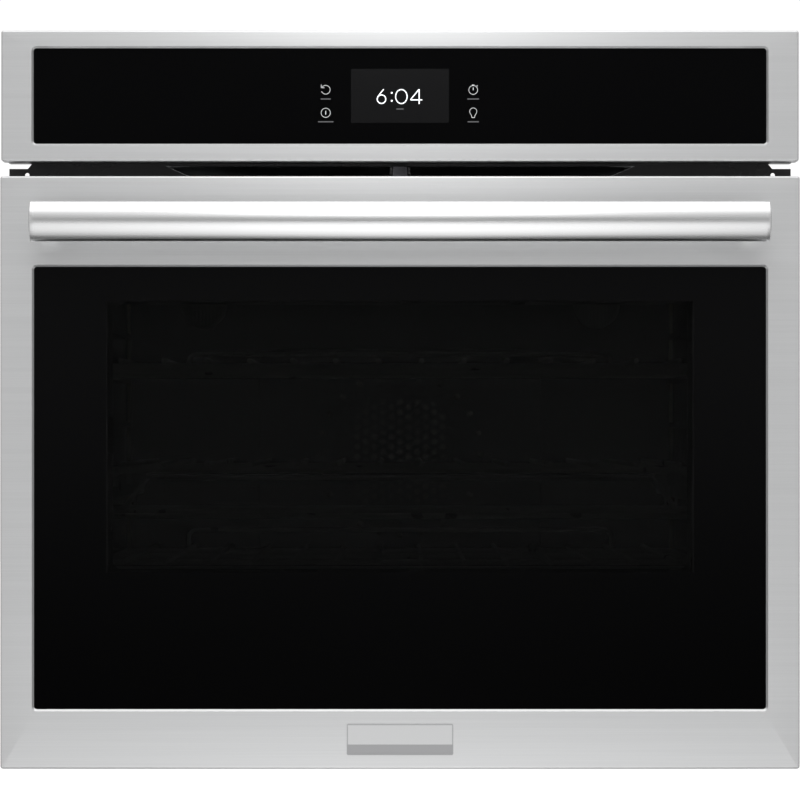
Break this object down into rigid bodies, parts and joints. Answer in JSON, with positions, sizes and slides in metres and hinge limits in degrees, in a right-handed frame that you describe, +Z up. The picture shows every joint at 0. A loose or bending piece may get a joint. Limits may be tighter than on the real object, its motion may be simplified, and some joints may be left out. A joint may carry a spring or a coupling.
{
  "type": "wall oven",
  "caption": "Built-in electric wall oven with a stainless control panel, a drop-down window door with a full-width bar handle, wire racks, hot-air fan and cooling air outlet.",
  "frame": {"origin": "centre of the underside of the base pan, which rests on the cabinet shelf", "axes": "+X to the viewer's right along the oven's width, +Y towards the back of the cabinet, +Z up"},
  "size_m": [0.762, 0.6922, 0.7088],
  "materials": {
    "galvanised_sheet": "spangled zinc, dull",
    "zinc_screws": "bright zinc",
    "black_enamel": "semi-gloss",
    "cavity_enamel": "gloss enamel, finely speckled",
    "mineral_wool": "matte fibre",
    "element_sheath": "oxidised alloy sheath",
    "steel_parts": "satin",
    "lamp_glass": "clear",
    "gasket_braid": "braided glass fibre",
    "rack_wire": "bright plated",
    "brushed_steel": "fine horizontal brushing",
    "badge_plate": "satin, blank",
    "black_glass": "gloss black",
    "tinted_glass": "gloss tinted",
    "clear_glass": "clear, heat reflecting",
    "dark_plastic": "matte",
    "white_plastic": "matte",
    "circuit_board": "solder-masked laminate"
  },
  "bodies": {
    "oven_body": {"base_pan": "galvanised_sheet", "side_panel_left": "galvanised_sheet", "side_panel_right": "galvanised_sheet", "top_cover": "galvanised_sheet", "rear_cover": "galvanised_sheet", "casing_screws": "zinc_screws", "front_frame": "black_enamel", "compartment_shelf": "galvanised_sheet", "cavity_liner": "cavity_enamel", "cavity_insulation": "mineral_wool", "bake_element": "element_sheath", "broil_element": "element_sheath", "convection_element": "element_sheath", "fan_cover": "cavity_enamel", "fan_motor": "steel_parts", "lamp_lenses": "lamp_glass", "lamp_holders": "steel_parts", "lamp_bulbs": "lamp_glass", "temperature_sensor": "steel_parts", "door_gasket": "gasket_braid", "glide_frame": "rack_wire", "blower_housing": "galvanised_sheet", "blower_motor": "steel_parts", "air_duct": "galvanised_sheet", "lock_motor": "steel_parts", "door_switch": "dark_plastic", "hinge_receivers": "galvanised_sheet", "hinge_arms": "steel_parts", "control_bezel": "brushed_steel", "control_glass": "black_glass", "control_tray": "black_enamel", "display_module": "dark_plastic", "touch_board": "circuit_board", "power_board": "circuit_board", "terminal_block": "dark_plastic", "conduit_gland": "steel_parts"},
    "door": {"door_skin": "brushed_steel", "outer_glass": "tinted_glass", "inner_glass": "clear_glass", "middle_glass": "clear_glass", "glass_frame": "steel_parts", "door_liner": "black_enamel", "door_insulation": "mineral_wool", "door_side_trims": "black_enamel", "door_top_trim": "black_enamel", "name_plate": "badge_plate", "handle_bar": "brushed_steel", "handle_ends": "brushed_steel", "handle_screws": "zinc_screws", "hinge_channels": "steel_parts", "hinge_pins": "steel_parts", "hinge_springs": "steel_parts"},
    "spring_rods": {"spring_rods": "steel_parts"},
    "bottom_rack": {"bottom_rack": "rack_wire"},
    "glide_rack": {"glide_rack": "rack_wire"},
    "top_rack": {"top_rack": "rack_wire"},
    "convection_fan": {"convection_fan": "steel_parts"},
    "blower_wheel": {"blower_wheel": "steel_parts"},
    "latch_hook": {"latch_hook": "steel_parts"},
    "switch_plunger": {"switch_plunger": "white_plastic"}
  },
  "joints": [
    {"name": "door_hinge", "type": "hinge", "parent": "oven_body", "child": "door", "pos_m": [0, -0.313, 0.022], "axis": [1, 0, 0], "range_deg": [0, 90], "stiffness_Nm_per_rad": 10, "springref_deg": -34.38},
    {"name": "rod_slide", "type": "slide", "parent": "door", "child": "spring_rods", "axis": [0, 0, -1], "range_m": [0, 0.0182], "deforming": ["hinge_springs"]},
    {"name": "bottom_rack_slide", "type": "slide", "parent": "oven_body", "child": "bottom_rack", "axis": [0, -1, 0], "range_m": [0, 0.292]},
    {"name": "glide_rack_slide", "type": "slide", "parent": "oven_body", "child": "glide_rack", "axis": [0, -1, 0], "range_m": [0, 0.292]},
    {"name": "top_rack_slide", "type": "slide", "parent": "oven_body", "child": "top_rack", "axis": [0, -1, 0], "range_m": [0, 0.292]},
    {"name": "plunger_slide", "type": "slide", "parent": "oven_body", "child": "switch_plunger", "axis": [0, -1, 0], "range_m": [0, 0.0048]},
    {"name": "latch_turn", "type": "hinge", "parent": "oven_body", "child": "latch_hook", "pos_m": [0, -0.244, 0.583], "axis": [1, 0, 0], "range_deg": [0, 7.5]},
    {"name": "convection_fan_spin", "type": "hinge", "parent": "oven_body", "child": "convection_fan", "pos_m": [0, 0.171, 0.3], "axis": [0, 1, 0], "continuous": true},
    {"name": "blower_spin", "type": "hinge", "parent": "oven_body", "child": "blower_wheel", "pos_m": [0, -0.12, 0.632], "axis": [1, 0, 0], "continuous": true}
  ],
  "couplings": [
    {"joint": "rod_slide", "follows": "door_hinge", "m_per_rad": 0.01146},
    {"joint": "bottom_rack_slide", "follows": "door_hinge", "m_per_rad": 0.185},
    {"joint": "glide_rack_slide", "follows": "door_hinge", "m_per_rad": 0.185},
    {"joint": "top_rack_slide", "follows": "door_hinge", "m_per_rad": 0.185},
    {"joint": "plunger_slide", "follows": "door_hinge", "m_per_rad": 0.003}
  ]
}
